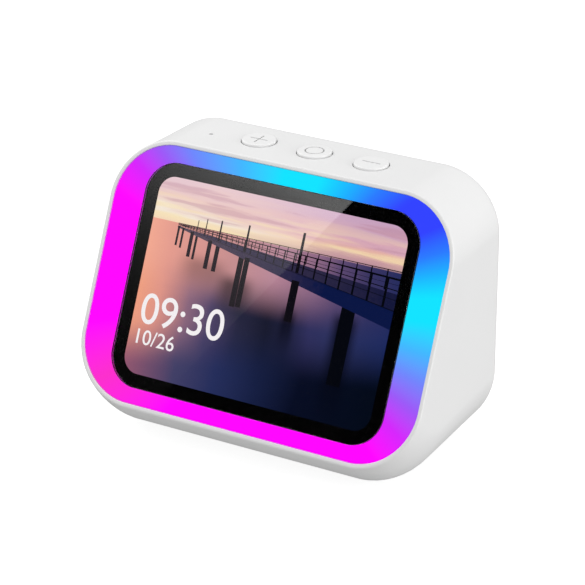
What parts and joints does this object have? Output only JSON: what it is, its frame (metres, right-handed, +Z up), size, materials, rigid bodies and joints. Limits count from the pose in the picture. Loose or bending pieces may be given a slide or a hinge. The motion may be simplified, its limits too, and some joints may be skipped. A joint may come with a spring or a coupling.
{
  "type": "smart display",
  "caption": "Desk smart display: white wedge case, tilted touch screen inside a glowing light ring, keys on top, loudspeaker and power socket in the rear cover.",
  "frame": {"origin": "on the table, under the centre of the case", "axes": "+X to the right of someone facing the screen, +Y towards the back, +Z up"},
  "size_m": [0.1004, 0.0531, 0.0745],
  "materials": {
    "white_plastic": "fine satin, off-white",
    "key_plastic": "fine satin, white",
    "diffuser": "translucent diffuser, lit from behind in changing colours",
    "black_glass": "polished, black printed border",
    "display": "lit picture",
    "frame_plastic": "moulded, black",
    "circuit_board": "green solder mask",
    "led_body": "white",
    "steel": "satin",
    "ferrite": "dark grey",
    "rubber": "soft grey",
    "black_rubber": "soft black",
    "speaker_cone": "pressed black paper",
    "copper": "enamelled copper winding",
    "ribbon_cable": "amber film",
    "red_wire": "insulated wire",
    "black_wire": "insulated wire"
  },
  "bodies": {
    "housing": {"backlight_unit": "led_body", "cover_glass": "black_glass", "cover_screw_1": "steel", "cover_screw_2": "steel", "cover_screw_3": "steel", "cover_screw_4": "steel", "display_ribbon": "ribbon_cable", "foot_pad": "rubber", "frame_screw_1": "steel", "frame_screw_2": "steel", "frame_screw_3": "steel", "frame_screw_4": "steel", "front_tray": "frame_plastic", "housing_shell": "white_plastic", "key_board": "circuit_board", "key_board_screw_1": "steel", "key_board_screw_2": "steel", "key_switch_1": "frame_plastic", "key_switch_2": "frame_plastic", "key_switch_3": "frame_plastic", "lcd_panel": "display", "led_board": "circuit_board", "light_ring": "diffuser", "main_board": "circuit_board", "main_board_screw_1": "steel", "main_board_screw_2": "steel", "mic_boot": "black_rubber", "microphone": "steel", "port_board": "circuit_board", "port_ribbon": "ribbon_cable", "processor_shield": "steel", "rear_cover": "white_plastic", "rgb_led_01": "led_body", "rgb_led_02": "led_body", "rgb_led_03": "led_body", "rgb_led_04": "led_body", "rgb_led_05": "led_body", "rgb_led_06": "led_body", "rgb_led_07": "led_body", "rgb_led_08": "led_body", "rgb_led_09": "led_body", "rgb_led_10": "led_body", "rgb_led_11": "led_body", "rgb_led_12": "led_body", "speaker_basket": "ferrite", "speaker_gasket": "black_rubber", "speaker_magnet": "ferrite", "speaker_surround": "black_rubber", "speaker_wire_black": "black_wire", "speaker_wire_red": "red_wire", "usb_c_socket": "steel"},
    "volume_up_key": {"volume_up_button": "key_plastic", "switch_plunger_1": "frame_plastic"},
    "mode_key": {"mode_button": "key_plastic", "switch_plunger_2": "frame_plastic"},
    "volume_down_key": {"volume_down_button": "key_plastic", "switch_plunger_3": "frame_plastic"},
    "cone_assembly": {"speaker_cone": "speaker_cone", "voice_coil": "copper"}
  },
  "joints": [
    {"name": "volume_up_press", "type": "slide", "parent": "housing", "child": "volume_up_key", "axis": [0, 0, -1], "range_m": [0, 0.0005], "stiffness_N_per_m": 1500, "springref_m": -0.0005},
    {"name": "mode_press", "type": "slide", "parent": "housing", "child": "mode_key", "axis": [0, 0, -1], "range_m": [0, 0.0005], "stiffness_N_per_m": 1500, "springref_m": -0.0005},
    {"name": "volume_down_press", "type": "slide", "parent": "housing", "child": "volume_down_key", "axis": [0, 0, -1], "range_m": [0, 0.0005], "stiffness_N_per_m": 1500, "springref_m": -0.0005},
    {"name": "cone_stroke", "type": "slide", "parent": "housing", "child": "cone_assembly", "axis": [0, 1, 0], "range_m": [-0.0006, 0.0006], "stiffness_N_per_m": 1000}
  ]
}
